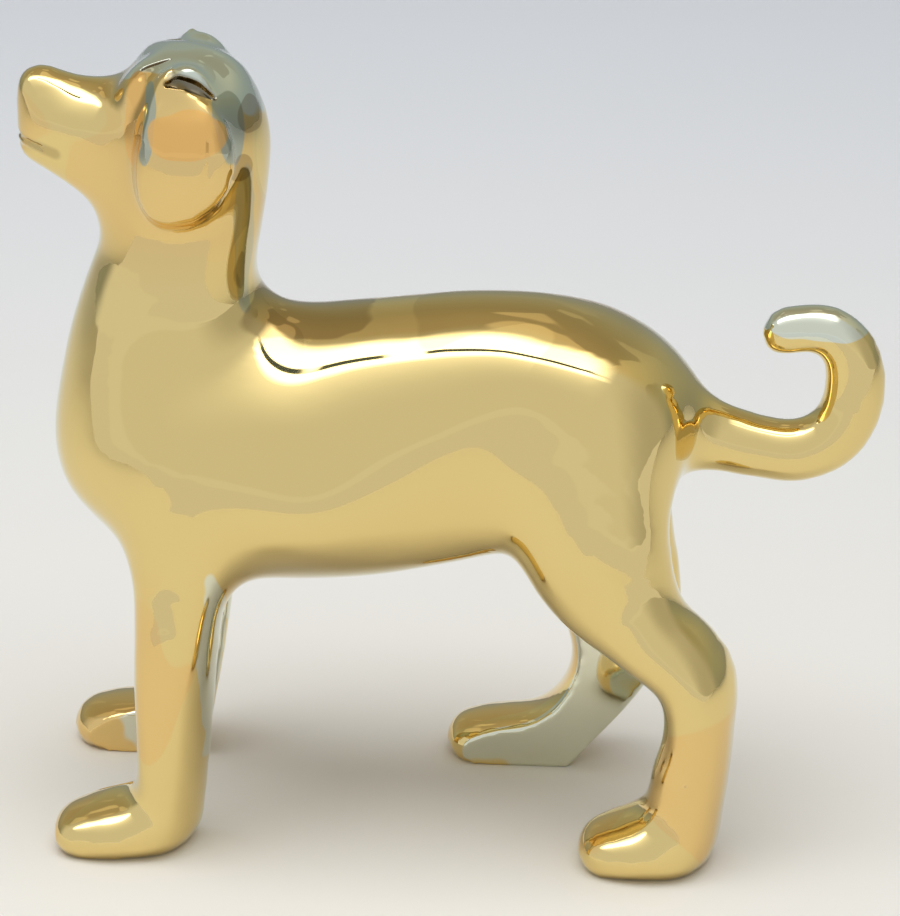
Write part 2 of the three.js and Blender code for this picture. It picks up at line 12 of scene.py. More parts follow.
import bpy
import numpy as np
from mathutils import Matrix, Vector


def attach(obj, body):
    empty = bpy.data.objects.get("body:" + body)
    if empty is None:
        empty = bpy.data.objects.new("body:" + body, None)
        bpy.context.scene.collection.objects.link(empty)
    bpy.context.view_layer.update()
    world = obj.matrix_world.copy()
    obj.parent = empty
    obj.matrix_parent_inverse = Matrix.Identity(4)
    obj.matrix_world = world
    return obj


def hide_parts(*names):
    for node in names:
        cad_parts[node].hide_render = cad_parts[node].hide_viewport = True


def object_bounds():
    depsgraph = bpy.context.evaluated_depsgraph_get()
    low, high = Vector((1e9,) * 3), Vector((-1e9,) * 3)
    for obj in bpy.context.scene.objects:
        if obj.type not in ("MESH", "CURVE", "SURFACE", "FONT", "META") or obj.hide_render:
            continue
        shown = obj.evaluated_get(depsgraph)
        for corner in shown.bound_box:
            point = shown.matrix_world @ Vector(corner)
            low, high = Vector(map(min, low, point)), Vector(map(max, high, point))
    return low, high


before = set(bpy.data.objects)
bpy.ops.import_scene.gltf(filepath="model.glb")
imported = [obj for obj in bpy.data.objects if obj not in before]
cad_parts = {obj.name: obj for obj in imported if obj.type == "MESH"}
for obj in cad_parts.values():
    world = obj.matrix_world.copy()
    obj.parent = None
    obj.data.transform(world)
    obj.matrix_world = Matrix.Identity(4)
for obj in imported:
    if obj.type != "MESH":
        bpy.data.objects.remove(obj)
MM = 0.001
cad_low, cad_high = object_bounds()
print("the model measures", [round(side / MM, 1) for side in cad_high - cad_low], "mm")

# %% [markdown]
# The camera comes first, because everything is judged through it. The photograph was taken from
# the dog's left side, a little behind its middle and well above it, with a long lens. A long lens
# is a small angle, so the camera stands far back for its size, 0.72 m from the point that it aims at.
# Both turns are given in degrees, and the lens follows from how many pixels a millimetre fills.

# %% Place the camera
AIM = Vector((0, -7.5, 74)) * MM
TURN = radians(4.5)
RISE = radians(22)
DISTANCE = 0.72
PHOTO_HEIGHT = 916
PIXELS_PER_MM = 5.44
SENSOR = 36

toward_camera = Vector((sin(TURN) * cos(RISE), -cos(TURN) * cos(RISE), sin(RISE)))
lens = SENSOR * PIXELS_PER_MM * DISTANCE / MM / PHOTO_HEIGHT
bpy.ops.object.camera_add(location=AIM + toward_camera * DISTANCE)
camera = bpy.context.object
camera.rotation_mode = "QUATERNION"
camera.rotation_quaternion = (-toward_camera).to_track_quat("-Z", "Y")
camera.data.sensor_width = SENSOR
camera.data.lens = lens
bpy.context.scene.camera = camera
print("lens", round(lens, 1), "mm")


# %% Helpers for operators
def only(obj):
    """Selects this object alone and makes it active."""
    bpy.ops.object.select_all(action="DESELECT")
    obj.select_set(True)
    bpy.context.view_layer.objects.active = obj
    return obj


def copy_of(obj, name):
    """A copy with its own mesh, free of its parent and of custom properties."""
    copy = obj.copy()
    copy.data = obj.data.copy()
    copy.name = copy.data.name = name
    for key in list(copy.keys()):
        del copy[key]
    copy.parent = None
    bpy.context.scene.collection.objects.link(copy)
    return copy


def apply_modifier(obj, kind, **settings):
    """Adds a modifier with its settings and applies it at once."""
    only(obj)
    modifier = obj.modifiers.new(kind.title(), kind)
    for setting, value in settings.items():
        setattr(modifier, setting, value)
    bpy.ops.object.modifier_apply(modifier=modifier.name)


def places(mesh):
    """The vertices of a mesh as an array with one row each, in metres."""
    flat = np.empty(len(mesh.vertices) * 3)
    mesh.vertices.foreach_get("co", flat)
    return flat.reshape(-1, 3)


def move_to(mesh, points):
    """Puts the vertices of a mesh at new places."""
    mesh.vertices.foreach_set("co", points.ravel())
    mesh.update()


# %% [markdown]
# ## The skin
# The bonded pieces lie 0.3 mm apart. Copies of them are swollen by more than half of that, so that
# they run into each other, and a voxel remesh wraps them all in one net of small squares.
# That is how a sculptor joins forms that were roughed out apart.

# %% Wrap the nine solids in one net
SWELL = 0.25 * MM
SAME_POINT = 0.001 * MM
VOXEL = 1.1 * MM

copies = [copy_of(node, "rough_" + name) for name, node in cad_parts.items()]
for rough in copies:
    only(rough)
    bpy.ops.object.mode_set(mode="EDIT")
    bpy.ops.mesh.select_all(action="SELECT")
    bpy.ops.mesh.remove_doubles(threshold=SAME_POINT)
    bpy.ops.transform.shrink_fatten(value=SWELL)
    bpy.ops.object.mode_set(mode="OBJECT")
bpy.ops.object.select_all(action="DESELECT")
for rough in copies:
    rough.select_set(True)
bpy.context.view_layer.objects.active = copies[0]
bpy.ops.object.join()
skin = bpy.context.object
skin.name = "skin"
apply_modifier(skin, "REMESH", mode="VOXEL", voxel_size=VOXEL, adaptivity=0)
print("net of", len(skin.data.polygons), "faces")

# %% [markdown]
# The net still shows the facets as ripples about 4 mm long. Averaging each point with its
# neighbours wears ripples away, but it also thins the tail and the legs. Pairs of steps, one that
# averages and one that moves a little farther back, wear away only what is shorter than a chosen
# length and leave the limbs as thick as they were. The trunk gets all of that wear. The head, with
# its brows and ears, and the tail get far less. The ground soles and the flat inner faces of the
# legs stay flat, because their points slide in their own plane only.

# %% How the wear works
STEP_IN = 0.5
KEPT_WAVE = 17 * MM
PAIRS = 280
HEAD_WEAR = 0.35
HEAD_FADE = (106 * MM, 116 * MM)
TAIL_START = 52 * MM
INNER_FACE = 15.5 * MM
CROTCH = 44 * MM
FLAT_WITHIN = 0.3 * MM


def neighbours_of(mesh):
    """For each vertex, its neighbours in a row, padded with the vertex itself, and their number."""
    ends = np.empty(len(mesh.edges) * 2, dtype=np.int64)
    mesh.edges.foreach_get("vertices", ends)
    ends = ends.reshape(-1, 2)
    pairs = np.vstack([ends, ends[:, ::-1]])
    pairs = pairs[np.argsort(pairs[:, 0], kind="stable")]
    count = np.bincount(pairs[:, 0], minlength=len(mesh.vertices))
    start = np.concatenate([[0], np.cumsum(count)[:-1]])
    rows = np.repeat(np.arange(len(count))[:, None], count.max(), axis=1)
    column = np.arange(len(pairs)) - start[pairs[:, 0]]
    rows[pairs[:, 0], column] = pairs[:, 1]
    return rows, count


def average(points, rows, count, chosen=slice(None)):
    """The middle of each chosen point's neighbours, with the padding taken out again."""
    padding = rows.shape[1] - count[chosen]
    total = points[rows[chosen]].sum(axis=1) - points[chosen] * padding[:, None]
    return total / count[chosen][:, None]


def ramp(values, low, high):
    """0 below low and 1 above high, with a soft start and end between them."""
    share = np.clip((values - low) / (high - low), 0, 1)
    return share * share * (3 - 2 * share)


def wear_ripples(points, rows, count, wear, flat_side, flat_sole):
    """Wears away what is shorter than the kept wave, and keeps the flat faces in their planes."""
    spacing = np.linalg.norm(points[rows[:, 0]] - points, axis=1).mean()
    pass_band = 1 - cos(2 * np.pi * spacing / KEPT_WAVE)
    step_out = 1 / (pass_band / 2 - 1 / STEP_IN)
    plane_y = points[flat_side, 1].copy()
    plane_z = points[flat_sole, 2].copy()
    for _ in range(PAIRS):
        for step in (STEP_IN, step_out):
            points = points + step * wear * (average(points, rows, count) - points)
            points[flat_side, 1] = plane_y
            points[flat_sole, 2] = plane_z
    return points


# %% Wear the facets away
points = places(skin.data)
rows, count = neighbours_of(skin.data)
grown_face = INNER_FACE - SWELL
flat_side = (np.abs(np.abs(points[:, 1]) - grown_face) < FLAT_WITHIN) & (points[:, 2] < CROTCH)
flat_sole = points[:, 2] < FLAT_WITHIN - SWELL
points[flat_side, 1] = np.sign(points[flat_side, 1]) * grown_face
points[flat_sole, 2] = -SWELL
wear = 1 - (1 - HEAD_WEAR) * ramp(points[:, 2], *HEAD_FADE)
wear[points[:, 0] > TAIL_START] = HEAD_WEAR
points = wear_ripples(points, rows, count, wear[:, None], flat_side, flat_sole)
move_to(skin.data, points)
only(skin)
bpy.ops.object.mode_set(mode="EDIT")
bpy.ops.mesh.select_all(action="SELECT")
bpy.ops.transform.shrink_fatten(value=-SWELL)
bpy.ops.object.mode_set(mode="OBJECT")
print("flat points", int(flat_side.sum()), "on the legs and", int(flat_sole.sum()), "on the soles")

# %% [markdown]
# ## Pulling the forms true
# A glass sculptor corrects a hot form with small pulls and presses. Here each pull has a place, a
# reach and a shift, all in millimetres, and its strength falls off softly from the place, as a
# sculpting brush does. The first list works near the middle or on one side. The second list is
# done on both sides alike. Its ribs and loins matter more than their millimetres tell, because the
# long reflected lines along the flank swing down and up with the fullness of the body. No pull may
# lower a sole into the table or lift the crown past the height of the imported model.

# %% The pulls
PULLS = (
    ("nose", (-76.5, 0, 143), (4, 12, 4), (-0.3, 0, 0.9)),
    ("bridge of the nose", (-66, 0, 142.2), (7, 10, 5), (0, 0, 0.6)),
    ("step below the brow", (-58.5, 2, 145.3), (3, 9, 4), (0.3, 0, -1.1)),
    ("brow", (-52.5, 0, 148), (5, 9, 4), (0, 0, 0.5)),
    ("back of the crown", (-33.5, 0, 139.5), (6, 20, 10), (-1.35, 0, -0.3)),
    ("nape", (-33, 0, 113), (8, 16, 9), (-1, 0, 0)),
    ("foot of the nape", (-33, 0, 105.5), (5, 14, 5), (-1, 0, -0.3)),
    ("jaw", (-72, 0, 128.3), (7, 10, 5), (0, 0, 0.7)),
    ("throat", (-63, 0, 122.5), (6, 12, 5), (0.6, 0, 0.5)),
    ("chest", (-67, 0, 104), (8, 24, 9), (0.8, 0, 0)),
    ("breast", (-67, -5, 60), (8, 20, 6), (0.5, 0, 0.5)),
    ("belly", (2, -8, 47), (14, 16, 7), (0, 0, 1)),
    ("near forearm", (-51, -24, 30), (16, 12, 16), (-0.8, 0, 0)),
    ("elbow", (-39, -20, 50), (4, 10, 5), (0, 0, -0.8)),
    ("seat", (45, 0, 69), (6, 14, 6), (-1.5, 0, 0)),
    ("back of the thigh", (43, -10, 58), (7, 14, 8), (-0.9, 0, 0)),
    ("hock", (50, -24, 44), (8, 12, 8), (-1.1, 0, -0.3)),
    ("root of the tail", (47, 0, 87), (7, 10, 6), (0.7, 0, 0.7)),
    ("tip of the tail", (59, 0, 95), (5, 8, 6), (-0.9, 0, -0.7)),
    ("inside of the curl", (70, 0, 89), (3.5, 8, 6), (-0.9, 0, 0)),
    ("near hind shank", (37, -24, 20), (6, 12, 9), (-0.9, 0, 0.6)),
    ("far hind toes", (-1, 22, 7), (6, 12, 8), (-0.8, 0, 0)),
    ("top of the far front paw", (-66, 22, 14), (8, 12, 5), (0, 0, -1.2)),
)
PULLS_BOTH_SIDES = (
    ("top of the ear", (-46, 12.4, 147), (5.5, 4.5, 4), (0, 0, 1.9)),
    ("behind the top of the ear", (-41.5, 10, 146), (3.2, 5, 4), (0, 0, -1.2)),
    ("upper ear", (-46, 19, 145), (7, 6, 5), (0, -1.6, 0)),
    ("ear flap", (-46, 20, 133), (8, 6, 7), (0, 0.7, 0)),
    ("side of the muzzle", (-68, 8, 136.3), (8, 6, 4), (0, 0.8, 0)),
    ("ribs", (-27, 28, 68), (20, 14, 12), (0, 2.5, 0)),
    ("loin", (9, 26, 66), (15, 14, 17), (0, -2.2, 0)),
    ("shoulder", (-55, 28, 77), (12, 14, 11), (0, 0.8, 0)),
    ("upper foreleg", (-50, 26, 50), (12, 12, 12), (0, -1.2, 0)),
    ("shoulder blade", (-50, 27, 86), (9, 14, 13), (0, 2.2, 0)),
    ("point of the shoulder", (-62, 27, 80), (10, 14, 11), (0, -1.8, 0)),
    ("behind the shoulder", (-30, 27, 86), (13, 14, 9), (0, 2.2, 0)),
    ("lower ribs", (-26, 27, 62), (13, 14, 14), (0, 3.2, 0)),
    ("hollow above the flank", (14, 27, 86), (9, 14, 9), (0, -2, 0)),
    ("flank", (10, 27, 78), (9, 14, 9), (0, -0.9, 0)),
    ("outer thigh", (30, 27, 50), (20, 14, 12), (0, -2.3, 0)),
)
HEADROOM = 0.05 * MM
print(len(PULLS), "single pulls and", len(PULLS_BOTH_SIDES), "on both sides")


# %% Pull the forms true
def pull(points, place, reach, shift):
    """Moves points by the shift, less and less with their distance from the place."""
    away = (points - np.array(place) * MM) / (np.array(reach) * MM)
    return points + np.exp(-(away ** 2).sum(axis=1))[:, None] * np.array(shift) * MM


points = places(skin.data)
before = points.copy()
sole_height = points[flat_sole, 2].copy()
for name, place, reach, shift in PULLS:
    points = pull(points, place, reach, shift)
for name, place, reach, shift in PULLS_BOTH_SIDES:
    for side in (1, -1):
        mirror = (1, side, 1)
        points = pull(points, np.multiply(place, mirror), reach, np.multiply(shift, mirror))
points[flat_sole, 2] = np.maximum(sole_height, 0)
points[:, 2] = np.clip(points[:, 2], 0, cad_high[2] - HEADROOM)
move_to(skin.data, points)
strongest = max(PULLS + PULLS_BOTH_SIDES, key=lambda row: np.linalg.norm(row[3]))
farthest = np.linalg.norm(points - before, axis=1).max() / MM
print("strongest pull:", strongest[0], "and the farthest move", round(farthest, 2), "mm")

# %% [markdown]
# ## Soft creases
# The ears were laid on hot, so they melt into the head along a soft valley, above all in front.
# A crease is where a point lies below the average of its neighbours. Lifting only such points,
# again and again, fills the sharp line and leaves the raised forms alone, as poured glass would.

# %% Fill the creases of the head
FILL_STEPS = 45
FILL_SHARE = 0.5
FILL_FROM = (116 * MM, 122 * MM)
NORMALS_EVERY = 5


def quads_of(mesh):
    """The four corners of each face, for a mesh of squares alone."""
    corners = np.empty(len(mesh.loops), dtype=np.int64)
    mesh.loops.foreach_get("vertex_index", corners)
    return corners.reshape(-1, 4)


def normals_of(points, quads):
    """The outward direction at each point, from the diagonals of the squares round it."""
    one = points[quads[:, 2]] - points[quads[:, 0]]
    other = points[quads[:, 3]] - points[quads[:, 1]]
    face = np.cross(one, other)
    total = np.zeros_like(points)
    for corner in range(4):
        np.add.at(total, quads[:, corner], face)
    return total / np.linalg.norm(total, axis=1)[:, None]


points = places(skin.data)
quads = quads_of(skin.data)
fill = ramp(points[:, 2], *FILL_FROM) * (points[:, 0] < TAIL_START)
chosen = np.nonzero(fill > 0)[0]
filled = points.copy()
for step in range(FILL_STEPS):
    if step % NORMALS_EVERY == 0:
        outward = normals_of(filled, quads)[chosen]
    toward_middle = average(filled, rows, count, chosen) - filled[chosen]
    lift = np.maximum((toward_middle * outward).sum(axis=1), 0) * fill[chosen]
    filled[chosen] += FILL_SHARE * lift[:, None] * outward
move_to(skin.data, filled)
print("deepest fill", round(np.linalg.norm(filled - points, axis=1).max() / MM, 2), "mm")
apply_modifier(skin, "SUBSURF", levels=1, render_levels=1)
print("skin of", len(skin.data.polygons), "faces")

# %% [markdown]
# ## Eyes, ear folds and mouth
# These are cut into the glass with a small wheel, so they have crisp rims. They need finer faces
# than the rest, so only the faces near them are divided again. Then each point near a cut sinks
# along its normal. An eye and an ear fold are long hollows with steep sides. The mouth is one long
# groove round the muzzle, with a second, fainter line for the lower lip, and a shallow groove sets
# off the lower rim of the ear. The eyes, ear folds and mouth also get painted shade: their colour
# darkens toward brown, so each point also keeps how much painted shade it gets.

# %% Where the wheel cuts
EYE = ((-54.8, 8.8, 147.1), (-52.4, 7.8, 148.0), (-50.1, 6.3, 148.4))
FOLD = ((-49.3, 14.6, 146.2), (-47.2, 13.9, 146.3), (-44.8, 13.3, 145.4), (-41.7, 12.6, 143.6))
MOUTH = ((-79.2, 0, 133.1), (-78.2, 1.9, 132.7), (-76.3, 4.3, 132.0), (-74.4, 5.4, 131.3),
         (-71.6, 6.2, 130.3))
LIP = ((-78.9, 0, 131.3), (-78.3, 2.0, 131.0), (-76.7, 4.4, 130.4), (-74.8, 5.3, 129.7),
       (-72.6, 5.8, 128.6))
EAR_RIM = ((-51.5, 16.8, 123.6), (-48, 17.8, 124.2), (-45, 18.6, 126.2), (-42.9, 19.2, 129.2),
           (-41.7, 19.3, 133), (-41.6, 18.8, 137))
# For the eyes, ear folds and mouth, one more share says how much painted shade darkens the cut.
CUTS = {
    "eyes": (EYE, dict(depth=0.55, width=0.4, rim=0.4, taper=0.5, shade_share=1)),
    "ear folds": (FOLD, dict(depth=1.0, width=1.35, rim=0.3, taper=0.5, shade_share=0.8, far_share=0.3)),
    "mouth": (MOUTH, dict(depth=0.8, width=0.6, rim=0.9, fade=1, shade_share=0.3)),
    "lower lip": (LIP, dict(depth=0.25, width=0.5, rim=0.95, fade=1)),
    "rims of the ears": (EAR_RIM, dict(depth=0.35, width=0.7, rim=0.95, taper=0.4)),
}
NEAR_FEATURE = 2.6
print("cuts for", ", ".join(CUTS))


# %% How the wheel cuts
def distance_to_line(points, line, side):
    """How far points lie from a line through given places, and where along it, from 0 to 1."""
    corners = np.multiply(line, (1, side, 1)) * MM
    best = np.full(len(points), np.inf)
    along = np.zeros(len(points))
    for number, (start, end) in enumerate(zip(corners[:-1], corners[1:])):
        part = np.clip((points - start) @ (end - start) / ((end - start) @ (end - start)), 0, 1)
        distance = np.linalg.norm(points - start - part[:, None] * (end - start), axis=1)
        nearer = distance < best
        best[nearer] = distance[nearer]
        along[nearer] = (number + part[nearer]) / (len(corners) - 1)
    return best, along


def refine_near(obj, lines, reach, cuts):
    """Divides the faces that lie within reach of a line, on either side of the dog."""
    only(obj)
    points = places(obj.data)
    near = np.full(len(points), False)
    for line in lines:
        for side in (1, -1):
            near |= distance_to_line(points, line, side)[0] < reach * MM
    bpy.ops.object.mode_set(mode="EDIT")
    bpy.ops.mesh.select_all(action="DESELECT")
    bpy.ops.object.mode_set(mode="OBJECT")
    for polygon in obj.data.polygons:
        polygon.select = all(near[index] for index in polygon.vertices)
    bpy.ops.object.mode_set(mode="EDIT")
    bpy.ops.mesh.select_mode(type="FACE")
    bpy.ops.mesh.subdivide(number_cuts=cuts, smoothness=1)
    bpy.ops.object.mode_set(mode="OBJECT")


def vertex_normals(mesh):
    """The outward direction at each vertex."""
    flat = np.empty(len(mesh.vertices) * 3)
    mesh.vertices.foreach_get("normal", flat)
    return flat.reshape(-1, 3)


def cut_along(points, outward, cut_shade, line, depth, width, rim, taper=0, fade=0, shade_share=0, far_share=1):
    """A trough with a floor, and walls that rise within the rim. Taper thins both of its ends, fade
    lets it run out at the rear end, the shade share is how much painted shade darkens the colour
    in it, and the far share is how much of the depth the dog's right side gets."""
    for side, share in ((1, far_share), (-1, 1)):
        distance, along = distance_to_line(points, line, side)
        room = width * MM * (1 - taper * np.abs(2 * along - 1) ** 2)
        sink = share * (1 - ramp(distance, room * (1 - rim), room * (1 + rim)))
        sink = sink * (1 - fade * ramp(along, 0.5, 1))
        points = points - depth * MM * sink[:, None] * outward
        # Painted shade: how much the colour is darkened in and round the cut.
        cut_shade = np.maximum(cut_shade, shade_share * (1 - ramp(distance, room, room * (1 + 2 * rim))))
    return points, cut_shade


# %% Cut the features
refine_near(skin, [line for line, form in CUTS.values()], NEAR_FEATURE, cuts=2)
points = places(skin.data)
outward = vertex_normals(skin.data)
# How much painted shade each point gets, starting from none.
cut_shade = np.zeros(len(points))
for line, form in CUTS.values():
    points, cut_shade = cut_along(points, outward, cut_shade, line, **form)
move_to(skin.data, points)
# The painted shade of the cuts is kept on the points for the material.
skin.data.attributes.new("cut_shade", "FLOAT", "POINT").data.foreach_set("value", cut_shade)
only(skin)
bpy.ops.object.shade_smooth()
print("skin with features of", len(skin.data.polygons), "faces")

# %% [markdown]
# ## The bonded pieces again
# The figurine is kept as pieces that meet at flat bond faces, so the skin is divided at the very
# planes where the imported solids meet. Each piece is a copy of the skin, cut by one plane after
# another, and each cut is closed by a face. The ears stay on the head's piece, because they melt
# into it. A mirror would show the seams, because a copy that ends at a cut shades its last faces
# in its own way. So each piece takes its shading from the whole skin.

# %% The bond faces
BOND_TILT = radians(38)
NECK_TILT = radians(25)
NECK_BOND = (-52.5, 0, 98.5)
TAIL_BOND = (52, 0, 85)
BETWEEN_LEGS = (-22, 0, 0)
MIDDLE = (0, 0, 0)
SHADING_REACH = 0.02 * MM

left, right = -1, 1
forward, backward = (-1, 0, 0), (1, 0, 0)
neck_up = (-sin(NECK_TILT), 0, cos(NECK_TILT))
leg_up = {side: (0, -side * sin(BOND_TILT), cos(BOND_TILT)) for side in (left, right)}
leg_bond = {side: (0, side * INNER_FACE / MM, CROTCH / MM) for side in (left, right)}
above_legs = [(leg_bond[side], leg_up[side]) for side in (left, right)]
print("bond faces at the neck", NECK_BOND, "and the tail", TAIL_BOND)


# %% Divide the skin
def opposite(direction):
    """The same line, the other way."""
    return tuple(-part for part in direction)


def cut_piece(name, planes):
    """A copy of the skin that keeps what lies ahead of every plane, given as a place and a direction."""
    piece = only(copy_of(skin, name))
    for place, direction in planes:
        bpy.ops.object.mode_set(mode="EDIT")
        bpy.ops.mesh.select_all(action="SELECT")
        bpy.ops.mesh.bisect(plane_co=[part * MM for part in place], plane_no=direction,
                            use_fill=True, clear_inner=True)
        bpy.ops.object.mode_set(mode="OBJECT")
    piece.data.polygons.foreach_set("use_smooth", [True] * len(piece.data.polygons))
    apply_modifier(piece, "DATA_TRANSFER", object=skin, use_loop_data=True,
                   data_types_loops={"CUSTOM_NORMAL"}, loop_mapping="POLYINTERP_NEAREST",
                   use_max_distance=True, max_distance=SHADING_REACH)
    print(name, len(piece.data.polygons), "faces")
    return piece


def leg_piece(name, side, lengthways):
    """What lies below the leg's bond face, on its own side and at its own end of the dog."""
    below = opposite(leg_up[side])
    return cut_piece(name, [(leg_bond[side], below), (MIDDLE, (0, side, 0)), (BETWEEN_LEGS, lengthways)])


pieces = {
    "torso": cut_piece("torso_skin", above_legs + [(NECK_BOND, opposite(neck_up)), (TAIL_BOND, forward)]),
    "head": cut_piece("head_skin", [(NECK_BOND, neck_up)]),
    "tail": cut_piece("tail_skin", above_legs + [(TAIL_BOND, backward)]),
}
for hand, side in (("left", left), ("right", right)):
    for end, lengthways in (("front", forward), ("hind", backward)):
        name = f"{hand}_{end}_leg"
        pieces[name] = leg_piece(name + "_skin", side, lengthways)
bpy.data.objects.remove(skin)

# %% [markdown]
# ## Gold lustre
# Lustre is a solution of gold in resin, painted onto polished glass and fired at about 600 degrees.
# The resin burns away and leaves a film far thinner than a hair, so the eye sees a mirror of warm
# pale gold. One metal does all of this: its base colour changes from place to place, and its
# roughness stays that of polished glass, with a breath of haze where it was handled.


# %% Helpers for materials
def linear(hex_colour):
    """An sRGB colour such as E6CE8D as the linear values that a shader works in."""
    channels = [int(hex_colour[i:i + 2], 16) / 255 for i in (0, 2, 4)]
    return [c / 12.92 if c <= 0.04045 else ((c + 0.055) / 1.055) ** 2.4 for c in channels] + [1]


def add(tree, kind, values=None, **settings):
    """Adds a node with its settings, and fills or links its sockets. A value that is itself a node
    stands for its first output in use."""
    node = tree.nodes.new("ShaderNode" + kind)
    for name, value in settings.items():
        setattr(node, name, value)
    for socket, value in (values or {}).items():
        if isinstance(value, bpy.types.Node):
            value = next(output for output in value.outputs if output.enabled)
        if isinstance(value, bpy.types.NodeSocket):
            tree.links.new(value, node.inputs[socket])
        else:
            node.inputs[socket].default_value = value
    return node


# %% [markdown]
# The film isn't even. It leans to peach where it is thick, on parts of the legs and the neck. Along
# the back, umber patches are painted in as dark reflections of the room behind. Many of the steps
# below are Map Range nodes that rise softly from nothing to their To Max. Feeding one such step into
# the To Max of the next lets through only what lies within them all, which is how the umber patches
# are kept to the back. Where From Min is the larger number, the step falls instead of rising.

# %% The uneven film
GOLD = "E7CF8D"
PEACH = "EBBB75"
UMBER = "7C5E34"
PATCH_SIZE = 34 * MM
FILM_SWIRL = 0.6
LEG_PEACH = 0.4
LEG_FADE = (60 * MM, 45 * MM)
NECK_PEACH = 0.3
NECK_FADE = (105 * MM, 120 * MM)
# The umber on the back is a painted dark reflection of the room behind.
PEACH_FILM = (0.51, 0.525)
BACK_REFLECTION_SHARE = 0.2
BACK_REFLECTION_NOISE = (0.48, 0.49)
BACK_HEIGHT = (94 * MM, 98 * MM)
BACK_FRONT = (-36 * MM, -33 * MM)
BACK_REAR = (56 * MM, 50 * MM)
SOFT = {"interpolation_type": "SMOOTHSTEP"}

lustre = bpy.data.materials.new("gold lustre fired on polished crystal")
lustre.use_nodes = True
tree = lustre.node_tree
tree.nodes.clear()
place = add(tree, "TexCoord").outputs["Object"]
x, y, z = add(tree, "SeparateXYZ", {"Vector": place}).outputs
film = add(tree, "TexNoise", {"Vector": place, "Scale": 1 / PATCH_SIZE, "Detail": 1,
                              "Distortion": FILM_SWIRL})

warm = 0
for share, (start, end) in ((LEG_PEACH, LEG_FADE), (NECK_PEACH, NECK_FADE)):
    part = add(tree, "MapRange", {"Value": z, "From Min": start, "From Max": end, "To Max": share}, **SOFT)
    warm = add(tree, "Math", {0: part, 1: warm}, operation="MAXIMUM")
start, end = PEACH_FILM
peach = add(tree, "MapRange", {"Value": film, "From Min": start, "From Max": end, "To Max": warm}, **SOFT)
colour = add(tree, "Mix", {"Factor": peach, "A": linear(GOLD), "B": linear(PEACH)}, data_type="RGBA")

# Painted dark reflection: umber patches on the back stand for the dark room mirrored there.
back = 1
for value, (start, end) in ((z, BACK_HEIGHT), (x, BACK_FRONT), (x, BACK_REAR)):
    back = add(tree, "MapRange", {"Value": value, "From Min": start, "From Max": end, "To Max": back},
               **SOFT)
start, end = BACK_REFLECTION_NOISE
painted_back_reflection = add(tree, "MapRange", {"Value": film, "From Min": start, "From Max": end, "To Max": back}, **SOFT)
umber = add(tree, "Math", {0: painted_back_reflection, 1: BACK_REFLECTION_SHARE}, operation="MULTIPLY")
colour = add(tree, "Mix", {"Factor": umber, "A": colour, "B": linear(UMBER)}, data_type="RGBA")
print("film tones change over about", round(PATCH_SIZE / MM), "mm")

# %% [markdown]
# The brush left patches of other tones where the film ran thin or thick: a silvery mist on the
# crown, on the top of the tail's curl and on the backs of the legs, slate round the ears, amber on
# the ear and the cheek, and umber on the nape and under the ear. The same mist on the inner faces
# of the legs is painted reflection, which lightens them where they mirror the near legs and their
# shade, and the umber on the withers is a painted dark reflection of the room behind. A patch is an
# ellipsoid, in millimetres and alike on both sides of the dog, and a noise tears its edge so that it
# looks brushed. Two more tones follow the form: a painted pale reflection where the mirror turns
# away from the eye, except along the back, and painted shade, nearly brown, in the cuts.

# %% Patches of other tones
MIST = "DCE6DC"
SLATE = "AEB6A6"
AMBER = "F4BE6E"
# The brown of the painted shade in the cuts.
CUT_SHADE = "5A4522"
PATCHES = (
    ("crown", (-44, 0, 149), (15.4, 14, 12.5), MIST, 0.95),
    ("top of the curl", (68, 0, 101), (14, 12, 3.4), MIST, 0.8),
    # Painted reflection: mist lightens the inner faces, which mirror the near legs and their shade.
    ("inner face of the hind leg", (18, 15.3, 20), (26, 1.3, 26), MIST, 0.75),
    ("inner face of the foreleg", (-54, 15.3, 20), (16, 1.3, 26), MIST, 0.75),
    ("before the ear", (-53, 16.2, 141), (1.8, 5, 8), SLATE, 0.9),
    ("behind the ear", (-38.4, 13.4, 139), (3.2, 6, 8), SLATE, 0.9),
    ("down the nape", (-36.9, 8.4, 116), (2.4, 4, 15), SLATE, 0.5),
    ("back of the foreleg", (-43, 20.5, 38), (3, 6, 24), MIST, 0.7),
    ("on the ear", (-45.5, 19.3, 138), (7.5, 7, 4.4), AMBER, 0.8),
    ("cheek", (-55.6, 13, 140.5), (2.3, 6, 8), AMBER, 0.7),
    ("nape", (-35.2, 6, 139), (3.6, 5, 3.2), UMBER, 0.45),
    ("under the ear", (-36.8, 10.8, 130), (2.6, 3.2, 2.8), UMBER, 0.45),
    # Painted dark reflection of the room behind, on the withers.
    ("withers", (-27, 5, 101), (12, 12, 4), UMBER, 0.45),
)
PATCH_EDGE = (1.04, 0.96)
SMUDGE_SIZE = 9 * MM
TORN = 0.9
NOISE_MIDDLE = (0.5, 0.5, 0.5)
# How much, and from which turn away from the eye, the painted pale reflection at the edges takes.
SHEEN_SHARE = 0.6
SHEEN_FROM = 0.62

